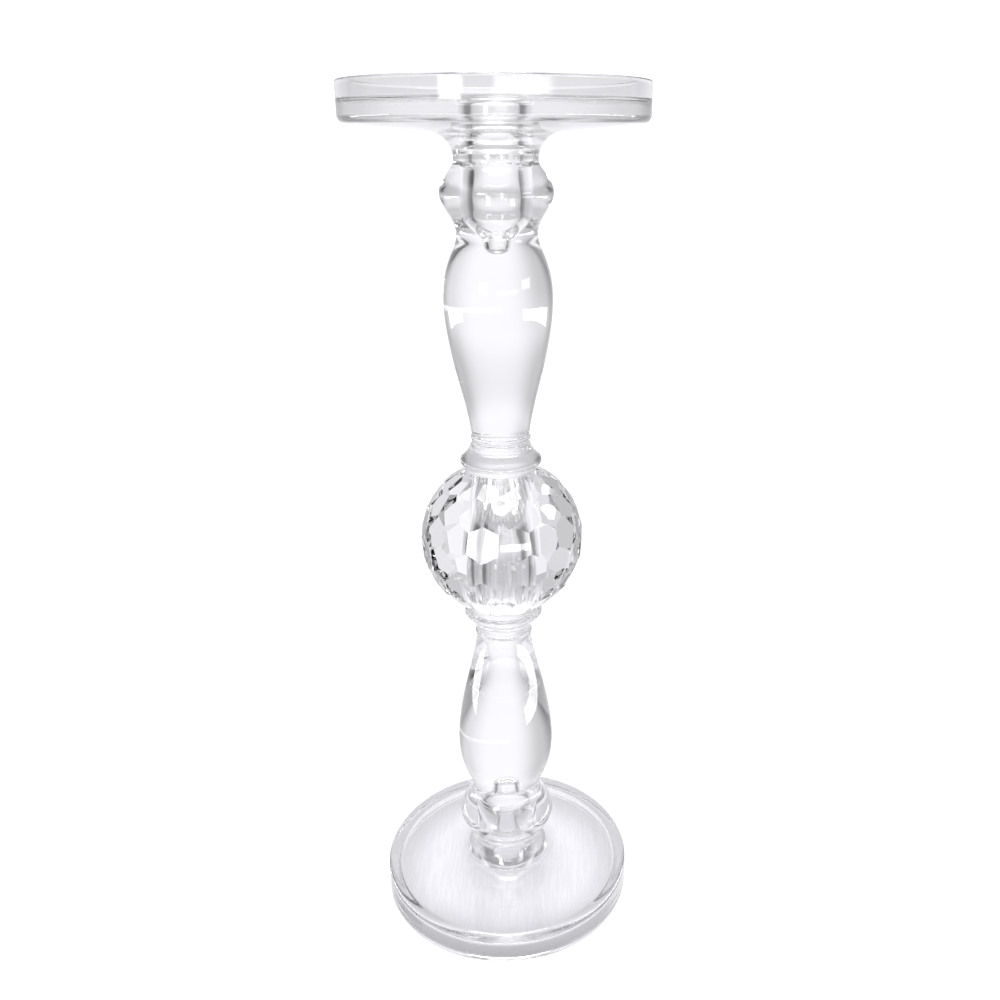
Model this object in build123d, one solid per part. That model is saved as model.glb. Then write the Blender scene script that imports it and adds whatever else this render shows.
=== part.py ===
"""Glass candlestick: two identical pressed end pieces bonded to a faceted ball.

The same pressed piece is used twice. The upper one has its shallow dish facing up and carries
the candle. The lower one is turned over, so that its dish rim is the foot. A faceted ball with
a drilled bore stands between the two stems, on a thin film of clear adhesive at each end.
Units are millimetres. The frame has +Z up and its origin under the middle of the foot.
"""
from build123d import *
import math
import os

# The pressed end piece: its dish. Heights are measured from the plane of the dish's rim.
dish_radius = 50.0
rim_width = 4.6
recess_depth = 6.5
wall_height = 12.4
underside_fall = 3.4

# The pressed end piece: its stem, as radii and the heights at which they lie.
end_length = 129.5
flare_radius, flare_height = 14.0, 23.9
knop_root_radius, knop_root_height = 15.0, 26.0
knop_radius, knop_height = 19.0, 33.5
knop_foot_radius, knop_foot_height = 15.0, 42.2
waist_radius, waist_height = 13.7, 47.0
shoulder_radius, shoulder_height = 16.4, 55.0
baluster_radius, baluster_height = 18.8, 70.0
taper_radius, taper_height = 14.4, 97.0
neck_radius, neck_height = 10.4, 116.2

# The pressed end piece: the bead on its neck, its ring and the seat that meets the ball.
neck_bead_height = 2.4
neck_bead_rise = 0.5
cove_height = 2.6
ring_root_radius = 11.3
ring_slope_radius = 13.5
ring_slope_height = 3.0
ring_radius = 14.8
ring_lip_height = 1.4
ring_lip_inset = 0.3
seat_radius = 13.0
seat_height = 2.1

# The hollow that the press's plunger leaves along the stem's axis.
core_radius = 8.0
core_end_radius = 8.1
core_shoulder_depth = 38.8
core_nose_radius = 3.4
core_nose_depth = 48.2
core_tip_radius = 2.9
core_depth = 55.0

# The cut ball and its two bonds.
ball_height = 53.6
facet_reach = 29.3
facets_round = 16
facet_latitudes = (-64, -44, -24, -4, 16, 36, 56)
bore_radius = 8.6
bond_thickness = 0.2
bond_radius = 11.8

# Rounding that the mould and the fire polish leave on the edges.
rim_edge = 0.8
floor_edge = 1.2
heel_edge = 2.4
flare_edge = 8.0
core_mouth_edge = 1.0
core_shoulder_edge = 8.0
core_nose_edge = 4.0
core_tip_edge = 2.7

ball_base = end_length + bond_thickness
total_height = 2 * ball_base + ball_height
seat_base = end_length - seat_height
ring_widest = seat_base - ring_lip_height
ring_top = neck_height + neck_bead_height + cove_height
neck_bead_top = neck_height + neck_bead_height


def stem_outline():
    """The turned outline, from the seat on the ball to the foot of the flare."""
    lip = ThreePointArc(
        (seat_radius, seat_base),
        (ring_radius - ring_lip_inset, seat_base - ring_lip_inset),
        (ring_radius, ring_widest),
    )
    ring = Spline(
        (ring_radius, ring_widest),
        (ring_slope_radius, ring_top + ring_slope_height),
        (ring_root_radius, ring_top),
        tangents=((0, -1), (-0.25, -1)),
    )
    cove = Spline(
        (ring_root_radius, ring_top),
        (neck_radius, neck_bead_top),
        tangents=((-0.25, -1), (0, -1)),
    )
    neck_bead = ThreePointArc(
        (neck_radius, neck_bead_top),
        (neck_radius + neck_bead_rise, neck_height + neck_bead_height / 2),
        (neck_radius, neck_height),
    )
    baluster = Spline(
        (neck_radius, neck_height),
        (taper_radius, taper_height),
        (baluster_radius, baluster_height),
        (shoulder_radius, shoulder_height),
        (waist_radius, waist_height),
        (knop_foot_radius, knop_foot_height),
        (knop_radius, knop_height),
        (knop_root_radius, knop_root_height),
        (flare_radius, flare_height),
        tangents=((0.12, -1), (0, -1)),
    )
    return [lip, ring, cove, neck_bead, baluster]


def dish_outline():
    """The flare, the underside, the rim, the recess and the hollow, ending on the axis."""
    inner_radius = dish_radius - rim_width
    return FilletPolyline(
        (flare_radius, flare_height),
        (flare_radius, wall_height + underside_fall),
        (dish_radius, wall_height),
        (dish_radius, 0),
        (inner_radius, 0),
        (inner_radius, recess_depth),
        (core_radius, recess_depth),
        (core_end_radius, core_shoulder_depth),
        (core_nose_radius, core_nose_depth),
        (core_tip_radius, core_depth),
        (0, core_depth),
        radius=[
            flare_edge,
            heel_edge,
            rim_edge,
            rim_edge,
            floor_edge,
            core_mouth_edge,
            core_shoulder_edge,
            core_nose_edge,
            core_tip_edge,
        ],
    )


def make_end_piece():
    """One pressed piece, standing on its rim with the stem pointing up."""
    seat = Polyline(
        (0, core_depth),
        (0, end_length),
        (seat_radius, end_length),
        (seat_radius, seat_base),
    )
    stem_edges = [curve.edge() for curve in stem_outline()]
    outline = Wire([*dish_outline().edges(), *seat.edges(), *stem_edges])
    return revolve(Plane.XZ * Face(outline), Axis.Z, 360)


def facet_ring(latitude, turn):
    """A many-sided frustum whose sides are the facets of one row of the ball."""
    half = ball_height / 2
    lean = math.radians(latitude)
    sides = []
    for height in (-half, half):
        apothem = (facet_reach - height * math.sin(lean)) / math.cos(lean)
        polygon = RegularPolygon(apothem, facets_round, major_radius=False, rotation=turn)
        sides.append(Plane.XY.offset(height) * polygon)
    return loft(sides)


def make_ball():
    """The cut ball: each row of facets is staggered by half a facet from its neighbours."""
    half_facet = 180 / facets_round
    rings = [facet_ring(latitude, half_facet * (row % 2)) for row, latitude in enumerate(facet_latitudes)]
    ball = rings[0]
    for ring in rings[1:]:
        ball = ball & ring
    return ball - Cylinder(bore_radius, 2 * ball_height)


def make_bond():
    """A film of cured clear adhesive between the ball's flat and the seat of a stem."""
    film = Cylinder(bond_radius, bond_thickness) - Cylinder(bore_radius, 2 * bond_thickness)
    return Pos(0, 0, bond_thickness / 2) * film


end_piece = make_end_piece()
parts = {
    "foot_stem": end_piece,
    "lower_bond": Pos(0, 0, end_length) * make_bond(),
    "faceted_ball": Pos(0, 0, total_height / 2) * make_ball(),
    "upper_bond": Pos(0, 0, ball_base + ball_height) * make_bond(),
    "candle_dish": Pos(0, 0, total_height) * Rot(180, 0, 0) * end_piece,
}

os.makedirs("parts", exist_ok=True)
for name, shape in parts.items():
    shape.label = name
    export_step(shape, f"parts/{name}.step")
    print(name, shape.is_valid, round(shape.volume, 1), shape.bounding_box().size)
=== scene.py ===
import math
import bmesh
import bpy
import numpy as np
from mathutils import Matrix, Vector


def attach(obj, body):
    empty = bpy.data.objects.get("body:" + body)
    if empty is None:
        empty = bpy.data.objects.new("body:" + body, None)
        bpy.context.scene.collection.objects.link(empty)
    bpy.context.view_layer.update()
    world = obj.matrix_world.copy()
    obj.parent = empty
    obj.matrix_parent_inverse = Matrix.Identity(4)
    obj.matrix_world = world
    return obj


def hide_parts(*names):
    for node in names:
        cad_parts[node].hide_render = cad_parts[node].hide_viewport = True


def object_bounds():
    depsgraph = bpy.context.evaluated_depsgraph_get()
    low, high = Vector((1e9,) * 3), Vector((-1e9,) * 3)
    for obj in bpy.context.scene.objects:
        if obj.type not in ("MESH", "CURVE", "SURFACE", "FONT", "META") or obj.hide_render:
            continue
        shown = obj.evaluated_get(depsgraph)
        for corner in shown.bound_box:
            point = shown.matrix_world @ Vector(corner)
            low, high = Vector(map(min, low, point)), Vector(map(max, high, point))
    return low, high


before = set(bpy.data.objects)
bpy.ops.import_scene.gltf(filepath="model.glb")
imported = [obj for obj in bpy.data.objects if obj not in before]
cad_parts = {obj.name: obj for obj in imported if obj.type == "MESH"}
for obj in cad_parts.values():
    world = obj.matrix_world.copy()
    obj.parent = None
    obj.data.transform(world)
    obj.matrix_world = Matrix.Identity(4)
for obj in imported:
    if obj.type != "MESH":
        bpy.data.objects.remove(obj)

cad_low, cad_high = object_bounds()
MM = 0.001


# The studio. Clear glass is shown by the light that comes through it, so the white tent round the
# pale table top is bright behind the object and dark to both sides, with a few windows in front.
class Value:
    """A socket that can be written in a sum: every operator adds a Math node."""

    def __init__(self, tree, socket):
        self.tree = tree
        self.socket = socket

    def maths(self, operation, *others):
        inputs = {place: other for place, other in enumerate((self, *others))}
        return self.tree.node("ShaderNodeMath", {"operation": operation}, inputs)[0]

    def __add__(self, other):
        return self.maths("ADD", other)

    __radd__ = __add__

    def __sub__(self, other):
        return self.maths("SUBTRACT", other)

    def __rsub__(self, other):
        return (self * -1.0) + other

    def __mul__(self, other):
        return self.maths("MULTIPLY", other)

    __rmul__ = __mul__

    def __gt__(self, other):
        return self.maths("GREATER_THAN", other)

    def __lt__(self, other):
        return self.maths("LESS_THAN", other)

    def __pow__(self, other):
        return self.maths("POWER", other)

    def __abs__(self):
        return self.maths("ABSOLUTE")

    def above(self, low, high):
        """0 below low, 1 above high and a smooth step between them."""
        settings = {"interpolation_type": "SMOOTHSTEP"}
        return self.tree.node("ShaderNodeMapRange", settings, {0: self, 1: low, 2: high})[0]

    def between(self, low, high, soft):
        """1 from low to high, with a smooth step of twice soft at either end."""
        return self.above(low - soft, low + soft) - self.above(high - soft, high + soft)


class Tree:
    """A node tree that is built one call to a node."""

    def __init__(self, owner):
        owner.use_nodes = True
        self.nodes = owner.node_tree.nodes
        self.links = owner.node_tree.links
        self.nodes.clear()

    def node(self, kind, settings=None, inputs=None):
        made = self.nodes.new(kind)
        for name, setting in (settings or {}).items():
            setattr(made, name, setting)
        for place, given in (inputs or {}).items():
            if isinstance(given, Value):
                self.links.new(given.socket, made.inputs[place])
            else:
                made.inputs[place].default_value = given
        return [Value(self, out) for out in made.outputs if out.enabled]

    def split(self, vector):
        return self.node("ShaderNodeSeparateXYZ", None, {0: vector})


world = bpy.data.worlds.new("studio_tent")
bpy.context.scene.world = world
sky = Tree(world)
ray_x, ray_y, ray_z = sky.split(sky.node("ShaderNodeTexCoord")[0])
path = sky.node("ShaderNodeLightPath")
camera_ray, mirrored = path[0], path[5]

aside = abs(ray_x.maths("ARCTAN2", ray_y)) * (180 / math.pi)
wings = 0.28 * aside.above(14, 44) + 0.88 * aside.above(44, 80) - 0.5 * aside.above(95, 150)
wings = wings * (1.0 - ray_z.maths("ABSOLUTE").above(0.75, 0.97))
left_back = (ray_x * -1.0).above(0.1, 0.6) * (ray_y > 0) * (ray_z * -1.0).above(-0.05, 0.25)
tent = 1.06 - 0.66 * wings - 0.22 * left_back
tent = tent * (1.0 - 0.34 * ray_z.above(-0.05, 0.12) + 0.40 * ray_z.above(0.3, 0.8))
tent = tent * (1.0 - 0.30 * (ray_y * -1.0).above(0.2, 0.7))
tent = tent * (1.0 - 0.5 * (ray_z * -1.0).above(0.80, 0.95))

# Windows in front of the object and low panels at its sides, which show only in reflections.
left_window = ray_x.between(-0.58, -0.36, 0.03) * (ray_y < 0) * (ray_z > 0.03) * (ray_z < 0.24)
right_pane = (ray_x > 0.322) * (ray_x < 0.352) * (ray_y < 0) * (ray_z > 0.130) * (ray_z < 0.137)
right_sill = ray_x.between(0.04, 0.68, 0.05) * (ray_y < 0) * (ray_z > 0.03) * (ray_z < 0.10)
side_window = (ray_x > 0.80) * (ray_x < 0.95) * (ray_y < 0.2) * (ray_z > 0.08) * (ray_z < 0.24)
side_panels = (ray_x > 0.79) * (ray_y > -0.62) + (ray_x < -0.79) * (ray_y > -0.2)
side_panels = side_panels * (ray_z > -0.285) * (ray_z < -0.185) * mirrored
tent = tent + 13.0 * (left_window + right_pane) + 5.0 * side_window + 3.0 * right_sill + 8.0 * side_panels

level = camera_ray * 1.3 + (1.0 - camera_ray) * tent
shine = sky.node("ShaderNodeBackground", None, {0: (0.985, 0.975, 1.01, 1.0), 1: level})[0]
sky.node("ShaderNodeOutputWorld", None, {0: shine})

# The table top is left out of what the glass shows, which is the tent, and a little painted shade under
# the foot takes its place there. The painted shade is darker to the rim, and most of all to the front.
reach = 60.0
floor_drop = 0.4 * MM
shade_drop = 0.2 * MM
shade_radius = 49.6 * MM
floor_mesh = bpy.data.meshes.new("table_top")
floor_mesh.from_pydata(
    [(-reach, -reach, 0), (reach, -reach, 0), (reach, reach, 0), (-reach, reach, 0)],
    [],
    [(0, 1, 2, 3)],
)
floor_material = bpy.data.materials.new("table_top_white")
paint = Tree(floor_material)
white = {"Base Color": (0.93, 0.93, 0.94, 1), "Roughness": 0.9}
board = paint.node("ShaderNodeBsdfPrincipled", None, white)[0]
paint.node("ShaderNodeOutputMaterial", None, {0: board})
floor_mesh.materials.append(floor_material)
floor = bpy.data.objects.new("table_top", floor_mesh)
floor.location.z = -floor_drop
floor.visible_transmission = False
floor.visible_glossy = False
bpy.context.collection.objects.link(floor)

shade_mesh = bpy.data.meshes.new("foot_shade")
shade_form = bmesh.new()
bmesh.ops.create_circle(shade_form, cap_ends=True, segments=96, radius=shade_radius)
shade_form.to_mesh(shade_mesh)
shade_form.free()
shade_material = bpy.data.materials.new("foot_shade")
dusk = Tree(shade_material)
shade_x, shade_y, shade_z = dusk.split(dusk.node("ShaderNodeTexCoord")[3])
out_from_axis = (shade_x * shade_x + shade_y * shade_y) ** 0.5
# Painted shade: the disc's colour is darker towards the rim, darker still towards the front, and darker near
# the axis under the stem.
pale = 0.93 - 0.30 * out_from_axis.above(0.028, 0.0475) - 0.2 * (1.0 - out_from_axis.above(0.006, 0.020))
pale = pale - 0.20 * (shade_y * -1.0).above(0.015, 0.045)
painted_shade_colour = dusk.node("ShaderNodeCombineColor", None, {0: pale, 1: pale, 2: pale * 1.01})[0]
dusk_paint = dusk.node("ShaderNodeBsdfDiffuse", None, {0: painted_shade_colour})[0]
dusk.node("ShaderNodeOutputMaterial", None, {0: dusk_paint})
shade_mesh.materials.append(shade_material)
foot_shade = bpy.data.objects.new("foot_shade", shade_mesh)
foot_shade.location.z = -shade_drop
for unseen in ("camera", "shadow", "diffuse", "glossy"):
    setattr(foot_shade, "visible_" + unseen, False)
bpy.context.collection.objects.link(foot_shade)

sun = bpy.data.lights.new("daylight", "SUN")
sun.energy = 1.9
sun.angle = math.radians(30)
sun_object = bpy.data.objects.new("daylight", sun)
bpy.context.collection.objects.link(sun_object)
bpy.context.scene.view_settings.view_transform = "Standard"
bpy.context.scene.cycles.max_bounces = 32
bpy.context.scene.cycles.transmission_bounces = 32
bpy.context.scene.cycles.glossy_bounces = 12

# The camera stands a little below the height of the dish and looks down at the ball.
eye_distance = 328.9 * MM
eye_height = 297.7 * MM
eye_aside = 15.8 * MM
look_down = math.radians(20.7)
lens = bpy.data.cameras.new("camera")
lens.sensor_width = 36
lens.lens = 0.9546 * lens.sensor_width
lens.shift_x = -0.0445
lens.shift_y = -0.0067
lens.clip_start = 0.01
camera = bpy.data.objects.new("camera", lens)
camera.location = (eye_aside, -eye_distance, eye_height)
camera.rotation_euler = (math.radians(90) - look_down, 0, 0)
bpy.context.collection.objects.link(camera)
bpy.context.scene.camera = camera


# The two pressed pieces. One mould makes both: gathered glass is pressed round a plunger, which
# leaves the blind hollow on the axis, and the piece is then fire polished.
def rounded(corners, radii, count=9):
    """A run of straight lines whose inner corners are rounded to the given radii."""
    points = [corners[0]]
    for before, corner, after, radius in zip(corners, corners[1:], corners[2:], radii):
        here = Vector(corner)
        back = (Vector(before) - here).normalized()
        on = (Vector(after) - here).normalized()
        half = back.angle(on) / 2
        middle = here + (back + on).normalized() * (radius / math.sin(half))
        start = here + back * (radius / math.tan(half)) - middle
        end = here + on * (radius / math.tan(half)) - middle
        turn = start.angle_signed(end)
        for step in range(count):
            points.append(tuple(middle + Matrix.Rotation(-turn * step / (count - 1), 2) @ start))
    return [*points, corners[-1]]


def flowing(stations, start_slope, end_slope, spacing):
    """A smooth curve through (radius, height) stations, as radius over height."""
    radii = np.array([station[0] for station in stations])
    heights = np.array([station[1] for station in stations])
    gaps = np.diff(heights)
    rises = np.diff(radii) / gaps
    count = len(stations)
    system = np.eye(count)
    slopes = np.zeros(count)
    slopes[0] = start_slope
    slopes[-1] = end_slope
    for place in range(1, count - 1):
        before, after = gaps[place - 1], gaps[place]
        system[place, place - 1 : place + 2] = (1 / before, 2 / before + 2 / after, 1 / after)
        slopes[place] = 3 * (rises[place - 1] / before + rises[place] / after)
    slopes = np.linalg.solve(system, slopes)
    points = []
    for place in range(count - 1):
        steps = max(2, round(abs(gaps[place]) / spacing))
        for t in np.linspace(0, 1, steps, endpoint=False):
            radius = (2 * t**3 - 3 * t**2 + 1) * radii[place] + (3 * t**2 - 2 * t**3) * radii[place + 1]
            radius += gaps[place] * (t**3 - 2 * t**2 + t) * slopes[place]
            radius += gaps[place] * (t**3 - t**2) * slopes[place + 1]
            points.append((radius, heights[place] + gaps[place] * t))
    return [*points, stations[-1]]


def guarded(points, margin=0.15):
    """Adds a point near both ends of each long line, so that a flat stays flat when smoothed."""
    kept = [points[0]]
    for start, end in zip(points, points[1:]):
        start, end = Vector(start), Vector(end)
        run = end - start
        if run.length < 0.02:
            continue
        if run.length > 6 * margin:
            kept.append(tuple(start + run.normalized() * margin))
            kept.append(tuple(end - run.normalized() * margin))
        kept.append(tuple(end))
    return kept


dish_radius = 50.0
rim_width = 4.6
recess_depth = 6.5
end_length = 129.5
seat_radius = 13.0
seat_base = 127.4
ring_radius = 14.8
ring_widest = 126.0
ring_root = (11.3, 121.2)
neck_radius = 10.4
neck_height = 116.2
neck_bead_height = 2.4
neck_bead_rise = 0.5

seat = rounded([(0, end_length), (seat_radius, end_length), (seat_radius, seat_base)], [0.35])
ring_lip = rounded([(seat_radius, seat_base), (ring_radius, seat_base), (ring_radius, ring_widest)], [1.3])
ring = flowing([(ring_radius, ring_widest), (13.5, 124.2), ring_root], 0.0, 0.25, 0.3)
cove = flowing([ring_root, (neck_radius, neck_height + neck_bead_height)], 0.25, 0.0, 0.25)
bead = [
    (
        neck_radius + neck_bead_rise * math.sin(math.pi * step / 10) ** 2,
        neck_height + neck_bead_height * (1 - step / 10),
    )
    for step in range(11)
]
stem = flowing(
    [
        (neck_radius, neck_height),
        (14.4, 97),
        (18.8, 70),
        (16.4, 55),
        (13.7, 47),
        (15.0, 42.2),
        (19.0, 33.5),
        (15.0, 26.0),
        (14.0, 23.9),
    ],
    -0.12,
    0.0,
    0.6,
)
inner_radius = dish_radius - rim_width
dish = rounded(
    [
        (14.0, 23.9),
        (14.0, 15.8),
        (dish_radius, 12.4),
        (dish_radius, 0),
        (inner_radius, 0),
        (inner_radius, recess_depth),
        (8.0, recess_depth),
        (8.1, 38.8),
        (3.4, 48.2),
        (2.9, 55.0),
        (0, 55.0),
    ],
    [8.0, 2.4, 0.8, 0.8, 1.2, 1.0, 8.0, 4.0, 2.7],
)
mould_line = guarded([*seat[:-1], *ring_lip, *ring[1:], *cove[1:], *bead[1:], *stem[1:], *dish[1:]])


def lathe_tree():
    """Geometry nodes that turn an outline, given as mesh points in order, about the Z axis."""
    tree = bpy.data.node_groups.new("lathe", "GeometryNodeTree")
    interface = tree.interface
    interface.new_socket("Outline", in_out="INPUT", socket_type="NodeSocketGeometry")
    segments = interface.new_socket("Segments", in_out="INPUT", socket_type="NodeSocketInt")
    glass = interface.new_socket("Glass", in_out="INPUT", socket_type="NodeSocketMaterial")
    interface.new_socket("Turned", in_out="OUTPUT", socket_type="NodeSocketGeometry")
    add = tree.nodes.new

    def link(source, target):
        tree.links.new(source, target)

    def maths(operation, first, second):
        made = add("ShaderNodeMath")
        made.operation = operation
        for socket, given in zip(made.inputs, (first, second)):
            if isinstance(given, (int, float)):
                socket.default_value = given
            else:
                link(given, socket)
        return made.outputs[0]

    given = add("NodeGroupInput")
    size = add("GeometryNodeAttributeDomainSize")
    link(given.outputs["Outline"], size.inputs[0])
    grid = add("GeometryNodeMeshGrid")
    link(maths("ADD", given.outputs["Segments"], 1), grid.inputs["Vertices X"])
    link(size.outputs["Point Count"], grid.inputs["Vertices Y"])
    index = add("GeometryNodeInputIndex").outputs[0]
    column = maths("FLOOR", maths("DIVIDE", maths("ADD", index, 0.5), size.outputs["Point Count"]), 0)
    row = maths("SUBTRACT", index, maths("MULTIPLY", column, size.outputs["Point Count"]))
    sample = add("GeometryNodeSampleIndex")
    sample.data_type = "FLOAT_VECTOR"
    link(given.outputs["Outline"], sample.inputs["Geometry"])
    link(add("GeometryNodeInputPosition").outputs[0], sample.inputs["Value"])
    link(row, sample.inputs["Index"])
    turn = maths("DIVIDE", maths("MULTIPLY", column, 2 * math.pi), given.outputs["Segments"])
    spin = add("ShaderNodeVectorRotate")
    spin.rotation_type = "Z_AXIS"
    link(sample.outputs[0], spin.inputs["Vector"])
    link(turn, spin.inputs["Angle"])
    place = add("GeometryNodeSetPosition")
    link(grid.outputs["Mesh"], place.inputs["Geometry"])
    link(spin.outputs[0], place.inputs["Position"])
    weld = add("GeometryNodeMergeByDistance")
    weld.inputs["Distance"].default_value = 1e-6
    link(place.outputs[0], weld.inputs["Geometry"])
    smooth = add("GeometryNodeSetShadeSmooth")
    link(weld.outputs[0], smooth.inputs["Geometry"])
    real = add("GeometryNodeRealizeInstances")
    link(smooth.outputs[0], real.inputs[0])
    coat = add("GeometryNodeSetMaterial")
    link(real.outputs[0], coat.inputs["Geometry"])
    link(given.outputs["Glass"], coat.inputs["Material"])
    out = add("NodeGroupOutput")
    link(coat.outputs[0], out.inputs[0])
    return tree, segments.identifier, glass.identifier


lathe, segments_input, glass_input = lathe_tree()


def turned(name, outline, segments, material):
    """A closed mesh turned from an outline in millimetres, as (radius, height) points."""
    source = bpy.data.meshes.new(name + "_outline")
    source.from_pydata([(r * MM, 0, z * MM) for r, z in outline], [], [])
    holder = bpy.data.objects.new(name + "_outline", source)
    bpy.context.collection.objects.link(holder)
    modifier = holder.modifiers.new("lathe", "NODES")
    modifier.node_group = lathe
    modifier[segments_input] = segments
    modifier[glass_input] = material
    ready = holder.evaluated_get(bpy.context.evaluated_depsgraph_get())
    mesh = bpy.data.meshes.new_from_object(ready)
    mesh.name = name
    bpy.data.objects.remove(holder)
    form = bmesh.new()
    form.from_mesh(mesh)
    bmesh.ops.dissolve_degenerate(form, edges=form.edges, dist=1e-7)
    bmesh.ops.recalc_face_normals(form, faces=form.faces)
    if form.calc_volume(signed=True) < 0:
        bmesh.ops.reverse_faces(form, faces=form.faces)
    for face in form.faces:
        face.material_index = 0
    form.to_mesh(mesh)
    form.free()
    mesh.materials.clear()
    mesh.materials.append(material)
    return mesh


def let_light_through(tree, body):
    """Finishes a glass: lamp light and light already scattered elsewhere go straight through it."""
    straight = tree.node("ShaderNodeBsdfTransparent", None, {0: (0.94, 0.94, 0.95, 1)})[0]
    ray = tree.node("ShaderNodeLightPath")
    soft = tree.node("ShaderNodeMixShader", None, {0: ray[2], 1: body, 2: straight})[0]
    both = tree.node("ShaderNodeMixShader", None, {0: ray[1], 1: soft, 2: straight})[0]
    tree.node("ShaderNodeOutputMaterial", None, {0: both})


def clear_glass(name, tint, ripple_height, ripple_scale):
    """Clear glass whose surface is a little rippled, with a few faint smears on it."""
    material = bpy.data.materials.new(name)
    tree = Tree(material)
    place = tree.node("ShaderNodeTexCoord")[3]
    noise = tree.node("ShaderNodeTexNoise", None, {"Vector": place, "Scale": ripple_scale, "Detail": 2.0})[0]
    ripple = {"Height": noise, "Strength": 1.0, "Distance": ripple_height * MM}
    smear = tree.node("ShaderNodeTexNoise", None, {"Vector": place, "Scale": 60.0, "Detail": 4.0})[0]
    surface = {
        "Base Color": (*tint, 1),
        "Transmission Weight": 1.0,
        "IOR": 1.52,
        "Roughness": smear.above(0.55, 0.85) * 0.03,
        "Normal": tree.node("ShaderNodeBump", None, ripple)[0],
    }
    let_light_through(tree, tree.node("ShaderNodeBsdfPrincipled", None, surface)[0])
    return material


def ground_glass(name, tint, grain, roughness, depth, dull):
    """Glass scratched by a tool: grain stretches the scratches along X, Y and Z."""
    material = bpy.data.materials.new(name)
    tree = Tree(material)
    x, y, z = tree.split(tree.node("ShaderNodeTexCoord")[3])
    drawn = tree.node("ShaderNodeCombineXYZ", None, {0: x * grain[0], 1: y * grain[1], 2: z * grain[2]})[0]
    coarse = tree.node("ShaderNodeTexNoise", None, {"Vector": drawn, "Scale": 260.0, "Detail": 3.0})[0]
    fine = tree.node("ShaderNodeTexNoise", None, {"Vector": drawn, "Scale": 1500.0, "Detail": 2.0})[0]
    scratch = coarse * 0.6 + fine * 0.4
    shade = 1.0 - dull * scratch.above(0.44, 0.54)
    channels = {place: shade * level for place, level in enumerate(tint)}
    surface = {
        "Base Color": tree.node("ShaderNodeCombineColor", None, channels)[0],
        "Transmission Weight": 1.0,
        "IOR": 1.52,
        "Roughness": roughness[0] + (roughness[1] - roughness[0]) * coarse.above(0.4, 0.65),
        "Normal": tree.node(
            "ShaderNodeBump", None, {"Height": scratch, "Strength": 1.0, "Distance": depth * MM}
        )[0],
    }
    let_light_through(tree, tree.node("ShaderNodeBsdfPrincipled", None, surface)[0])
    return material


pressed_glass = clear_glass("pressed_glass", (0.985, 0.985, 0.985), 0.02, 55.0)
foot_mesh = turned("foot", mould_line, 192, pressed_glass)

# The floor of the recess is faintly scratched, all one way, by the grinding that levels it.
ground_floor = ground_glass("ground_recess", (0.985, 0.985, 0.985), (4.0, 0.3, 4.0), (0.12, 0.20), 0.01, 0.10)
foot_mesh.materials.append(ground_floor)
for face in foot_mesh.polygons:
    level_face = abs(face.normal.z) > 0.99 and abs(face.center.z - recess_depth * MM) < 0.1 * MM
    face.material_index = int(level_face)
foot = bpy.data.objects.new("foot", foot_mesh)
bpy.context.collection.objects.link(foot)
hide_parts("foot_stem")
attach(foot, "root")

dish_mesh = foot_mesh.copy()
dish_mesh.name = "candle_plate"
dish_mesh.transform(Matrix.Translation((0, 0, cad_high.z)) @ Matrix.Rotation(math.pi, 4, "X"))
candle_plate = bpy.data.objects.new("candle_plate", dish_mesh)
bpy.context.collection.objects.link(candle_plate)
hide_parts("candle_dish")
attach(candle_plate, "root")


# The ball. It is cut and polished from a block of crystal, one row of flat facets after another,
# and then drilled right through, which leaves a faintly ground bore.
block_size = 80.0
ball_height = 53.6
facet_reach = 29.3
facets_round = 16
facet_latitudes = (-64, -44, -24, -4, 16, 36, 56)
bore_radius = 8.6
ball_middle = cad_high.z / 2


def cut_ball():
    """A block cut down by the plane of every facet, then bored along its axis."""
    form = bmesh.new()
    bmesh.ops.create_cube(form, size=block_size * MM)
    planes = [(Vector((0, 0, end)), ball_height / 2) for end in (-1, 1)]
    for row, latitude in enumerate(facet_latitudes):
        for facet in range(facets_round):
            around = 2 * math.pi * (facet + (row + 1) % 2 / 2) / facets_round
            tilt = math.radians(latitude)
            level_part = Vector((math.cos(around), math.sin(around), 0)) * math.cos(tilt)
            planes.append((level_part + Vector((0, 0, math.sin(tilt))), facet_reach))
    for facing, distance in planes:
        everything = [*form.verts, *form.edges, *form.faces]
        cut = bmesh.ops.bisect_plane(
            form, geom=everything, plane_co=facing * distance * MM, plane_no=facing, clear_outer=True
        )
        rim = [edge for edge in cut["geom_cut"] if isinstance(edge, bmesh.types.BMEdge)]
        if rim:
            bmesh.ops.edgeloop_fill(form, edges=rim)
    bmesh.ops.remove_doubles(form, verts=form.verts, dist=1e-6)
    bmesh.ops.recalc_face_normals(form, faces=form.faces)
    mesh = bpy.data.meshes.new("ball")
    form.to_mesh(mesh)
    form.free()
    return mesh


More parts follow.
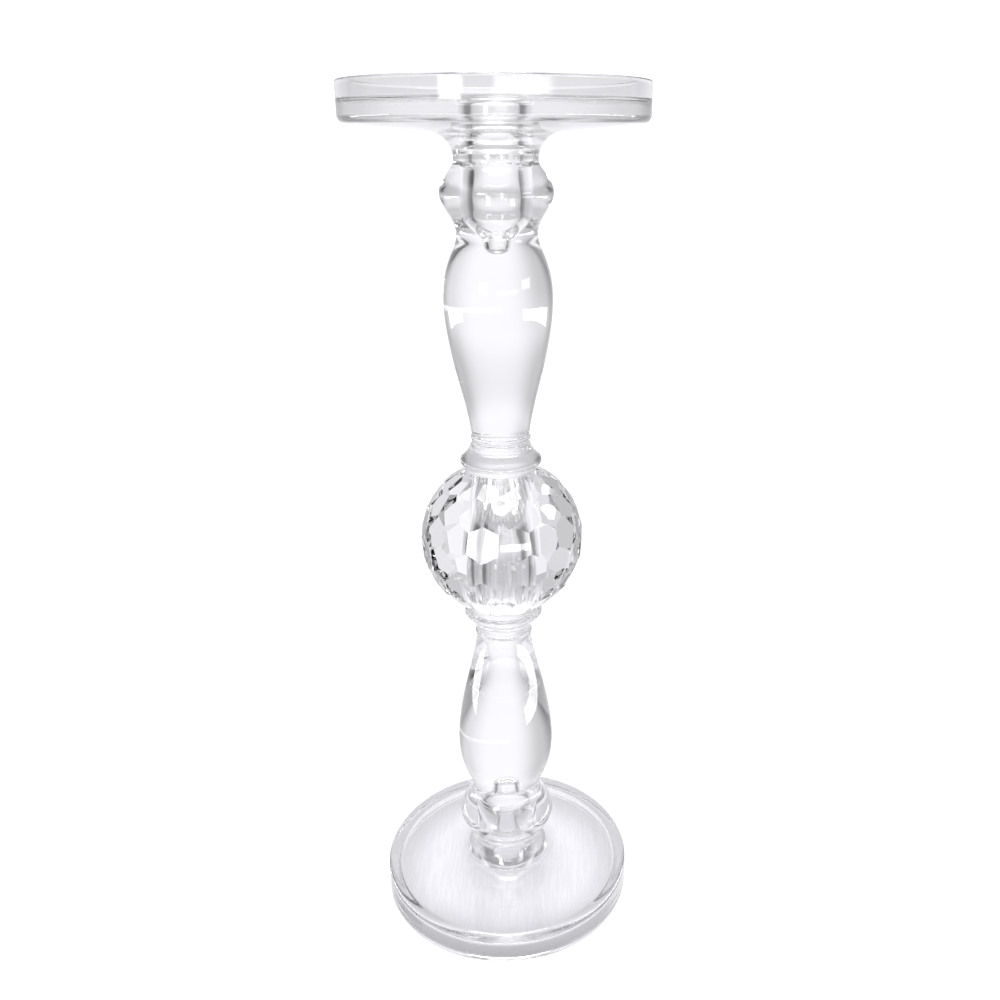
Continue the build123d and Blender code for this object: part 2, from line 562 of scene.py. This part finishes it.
crystal = clear_glass("cut_crystal", (0.975, 0.98, 0.98), 0.002, 90.0)
drilled = ground_glass("drilled_bore", (0.97, 0.975, 0.98), (1.0, 1.0, 0.04), (0.02, 0.10), 0.08, 0.14)
ball_mesh = cut_ball()
ball_mesh.materials.append(crystal)
ball_mesh.materials.append(drilled)
ball = bpy.data.objects.new("ball", ball_mesh)
bpy.context.collection.objects.link(ball)
drill_form = bmesh.new()
bmesh.ops.create_cone(
    drill_form,
    cap_ends=True,
    segments=96,
    radius1=bore_radius * MM,
    radius2=bore_radius * MM,
    depth=block_size * MM,
)
drill_mesh = bpy.data.meshes.new("drill")
drill_form.to_mesh(drill_mesh)
drill_form.free()
drill = bpy.data.objects.new("drill", drill_mesh)
bpy.context.collection.objects.link(drill)
drill_mesh.materials.append(crystal)
cutter = ball.modifiers.new("bore", "BOOLEAN")
cutter.operation = "DIFFERENCE"
cutter.solver = "EXACT"
cutter.object = drill
bored = bpy.data.meshes.new_from_object(ball.evaluated_get(bpy.context.evaluated_depsgraph_get()))
ball.modifiers.clear()
bpy.data.objects.remove(drill)
ball.data = bored
bored.transform(Matrix.Translation((0, 0, ball_middle)))
for face in bored.polygons:
    out = Vector((face.center.x, face.center.y, 0)).length
    face.use_smooth = out < (bore_radius + 0.2) * MM
    face.material_index = int(face.use_smooth)
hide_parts("faceted_ball")
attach(ball, "root")


# The two bonds. Each is a film of clear adhesive, cured under a lamp, that fills the joint
# between a stem's seat and the ball's flat, outside the bore.
film_height = 0.2
film_inner = bore_radius + 0.05
film_outer = 11.75
film_clearance = 0.01
film_guard = 0.025
upper_base = cad_high.z / MM - end_length - film_height
adhesive = clear_glass("clear_adhesive", (0.98, 0.98, 0.975), 0.004, 200.0)
for name, node, base in (("lower_film", "lower_bond", end_length), ("upper_film", "upper_bond", upper_base)):
    low = base + film_clearance
    high = base + film_height - film_clearance
    section = [(film_inner, low), (film_outer, low), (film_outer, high), (film_inner, high)]
    film = bpy.data.objects.new(name, turned(name, guarded([*section, section[0]], film_guard), 96, adhesive))
    bpy.context.collection.objects.link(film)
    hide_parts(node)
    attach(film, "root")
